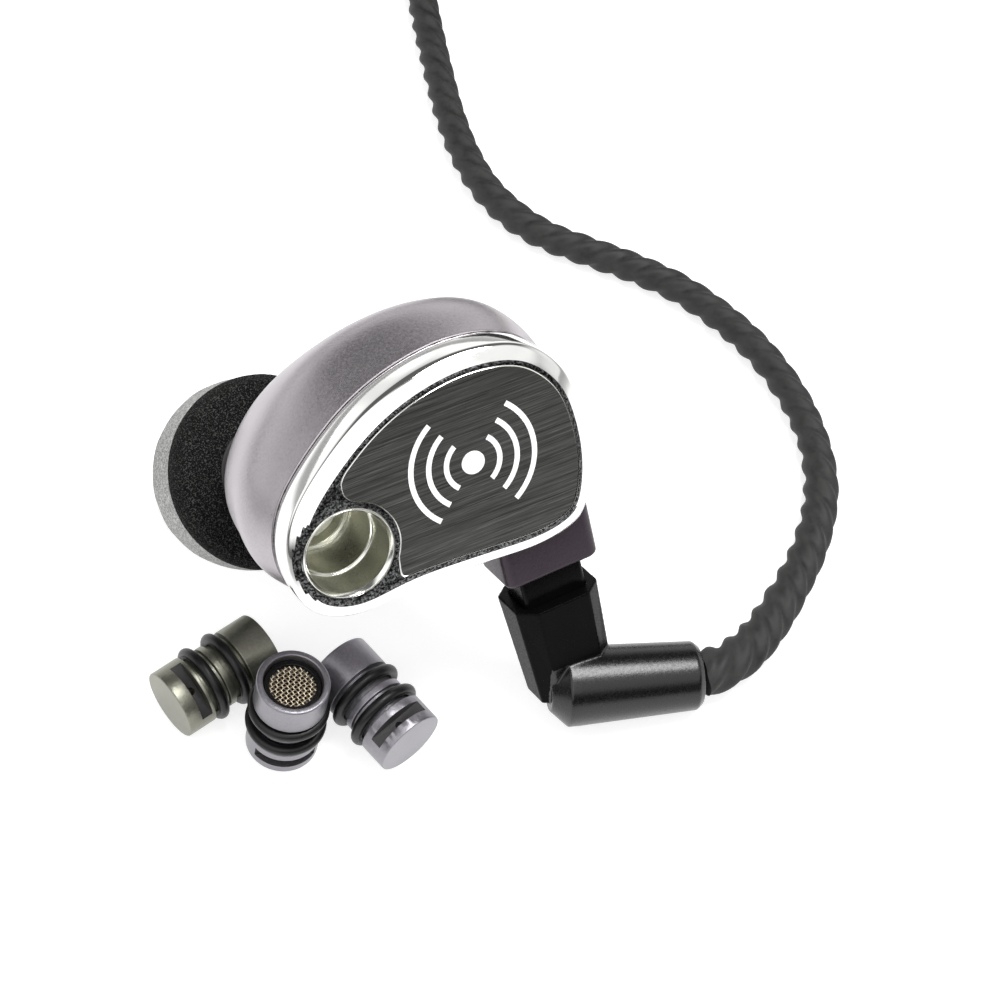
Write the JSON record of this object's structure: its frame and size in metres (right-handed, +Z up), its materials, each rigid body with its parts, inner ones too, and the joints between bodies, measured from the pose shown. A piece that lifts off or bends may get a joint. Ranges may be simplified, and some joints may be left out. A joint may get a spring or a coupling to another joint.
{
  "type": "in-ear monitor",
  "caption": "Universal-fit in-ear monitor earpiece with foam tip, plug-in coiled cable with headphone jack, and loose vent modules, laid on a table.",
  "frame": {"origin": "on the table, below the middle of the box around the earpiece, its plug and the loose modules", "axes": "+Z up, -Y towards the viewer, +X along the row from the loose modules to the cable plug"},
  "size_m": [0.0626, 0.1161, 0.0281],
  "materials": {
    "shell_anodised": "bead-blasted, anodised grey-violet",
    "bezel_polished": "polished bright",
    "inlay_brushed": "brushed along its straight edge, dark anodised",
    "print_white": "pad-printed white ink",
    "socket_nickel": "satin nickel",
    "gasket_black": "soft",
    "screen_steel": "etched",
    "damper": "soft",
    "driver_steel": "satin",
    "bracket_plastic": "moulded",
    "tube_clear": "soft silicone",
    "board_green": "solder mask",
    "chip_tan": "ceramic",
    "wire_red": "enamel",
    "insulator_black": "moulded",
    "contact_gold": "gold plated",
    "tip_core_rubber": "soft",
    "foam_grey": "fine open-cell foam with a skin",
    "foam_black": "open-cell foam",
    "plug_satin_black": "satin moulding",
    "sleeve_black": "heat-shrink over twisted cable, matte",
    "cable_black": "twisted, matte",
    "tie_black": "soft strap",
    "barrel_black": "satin anodised",
    "module_olive": "bead-blasted, anodised olive grey",
    "module_violet": "bead-blasted, anodised grey-violet",
    "oring_black": "smooth",
    "cap_ring_black": "moulded",
    "mesh_bronze": "woven wire"
  },
  "bodies": {
    "cable_set": {"plug_housing": "plug_satin_black", "plug_neck": "insulator_black", "plug_pins": "contact_gold", "ear_hook_sleeve": "sleeve_black", "cable": "cable_black", "cable_coil": "cable_black", "coil_tie": "tie_black", "jack_strain_relief": "plug_satin_black", "jack_barrel": "barrel_black", "jack_sleeve": "contact_gold", "jack_ring": "contact_gold", "jack_tip": "contact_gold", "jack_insulators": "insulator_black"},
    "earpiece": {"rear_shell": "shell_anodised", "bezel": "bezel_polished", "faceplate_inlay": "inlay_brushed", "emblem": "print_white", "module_socket": "socket_nickel", "shell_gasket": "gasket_black", "nozzle": "shell_anodised", "nozzle_screen": "screen_steel", "acoustic_damper": "damper", "driver_bracket": "bracket_plastic", "bass_driver": "driver_steel", "mid_driver": "driver_steel", "high_driver": "driver_steel", "driver_spouts": "driver_steel", "sound_tubes": "tube_clear", "crossover_board": "board_green", "crossover_parts": "chip_tan", "hookup_wires": "wire_red", "socket_insulator": "insulator_black", "socket_contacts": "contact_gold"},
    "ear_tip": {"tip_core": "tip_core_rubber", "foam_front": "foam_grey", "foam_rear": "foam_black"},
    "vent_module_a": {"module_a_body": "module_olive", "module_a_o_rings": "oring_black", "module_a_cap_ring": "cap_ring_black", "module_a_mesh": "mesh_bronze"},
    "vent_module_b": {"module_b_body": "module_violet", "module_b_o_rings": "oring_black", "module_b_cap_ring": "cap_ring_black", "module_b_mesh": "mesh_bronze"},
    "vent_module_c": {"module_c_body": "module_violet", "module_c_o_rings": "oring_black", "module_c_cap_ring": "cap_ring_black", "module_c_mesh": "mesh_bronze"}
  },
  "joints": [
    {"name": "earpiece_unplug", "type": "slide", "parent": "cable_set", "child": "earpiece", "axis": [-0.2013, 0.3784, 0.9035], "range_m": [0, 0.008]},
    {"name": "tip_pull", "type": "slide", "parent": "earpiece", "child": "ear_tip", "axis": [-0.3996, 0.527, -0.7501], "range_m": [0, 0.006]},
    {"name": "module_a_slide", "type": "slide", "parent": "cable_set", "child": "vent_module_a", "axis": [-0.7771, -0.6293, 0], "range_m": [0, 0.015]},
    {"name": "module_b_slide", "type": "slide", "parent": "cable_set", "child": "vent_module_b", "axis": [0, -1, 0], "range_m": [0, 0.015]},
    {"name": "module_c_slide", "type": "slide", "parent": "cable_set", "child": "vent_module_c", "axis": [0.6691, -0.7431, 0], "range_m": [0, 0.015]}
  ]
}
